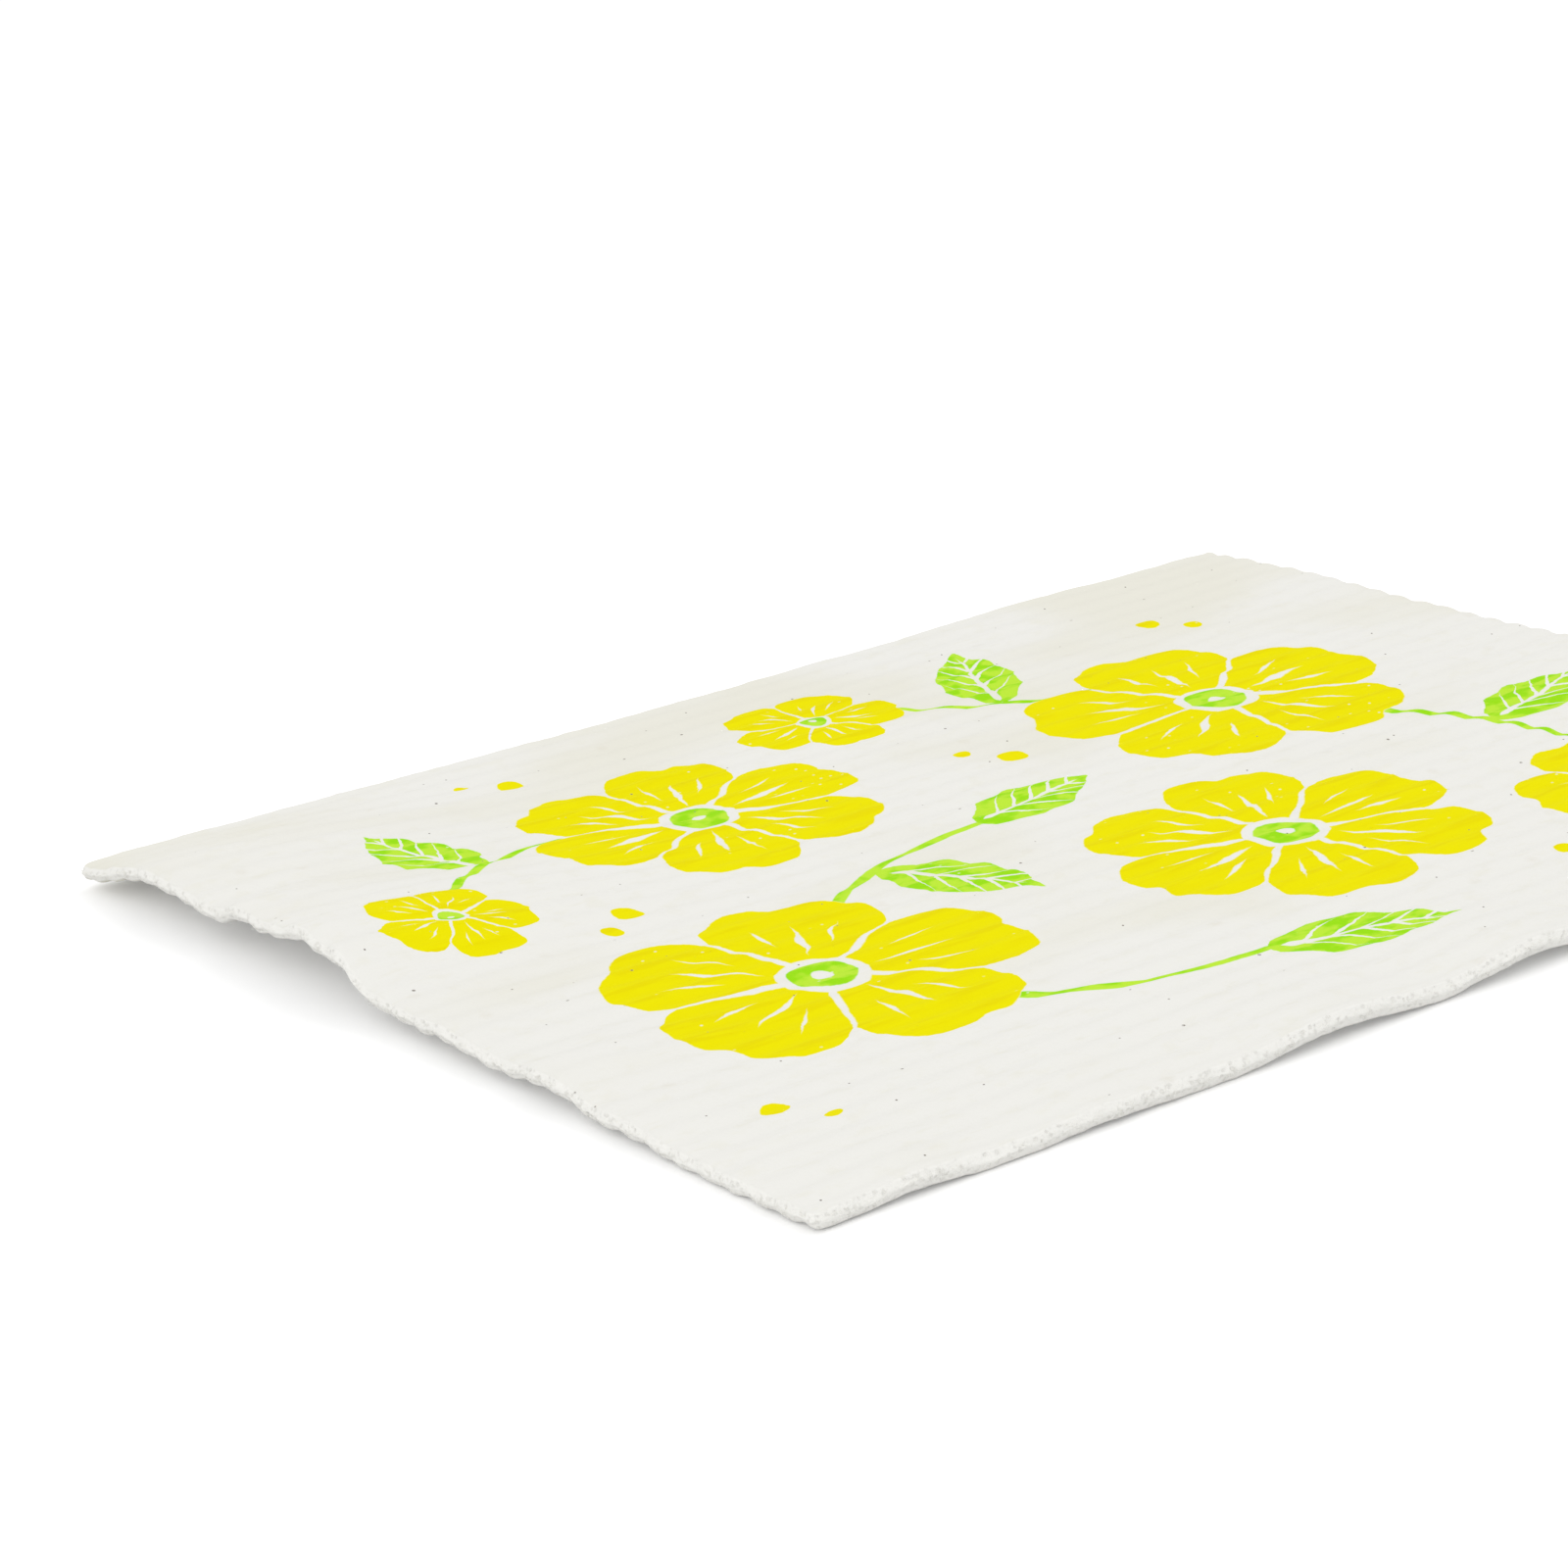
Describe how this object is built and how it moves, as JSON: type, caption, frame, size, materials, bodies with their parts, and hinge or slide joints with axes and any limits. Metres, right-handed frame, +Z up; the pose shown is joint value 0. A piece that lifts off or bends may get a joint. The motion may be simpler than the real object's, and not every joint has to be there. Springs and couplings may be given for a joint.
{
  "type": "sponge cloth",
  "caption": "Thin rectangular cellulose sponge cloth, ribbed along its length on both faces, lying flat with softly waved free edges.",
  "frame": {"origin": "on the floor, under the middle of the cloth", "axes": "+Z up out of the printed face, +Y along the ribs and the longer side, +X across the ribs"},
  "size_m": [0.1701, 0.2, 0.0094],
  "materials": {
    "cellulose_sponge": "matt undyed cellulose sponge with a bright yellow and leaf green print on its upper face"
  },
  "bodies": {
    "root": {"sponge_cloth": "cellulose_sponge"}
  },
  "joints": []
}
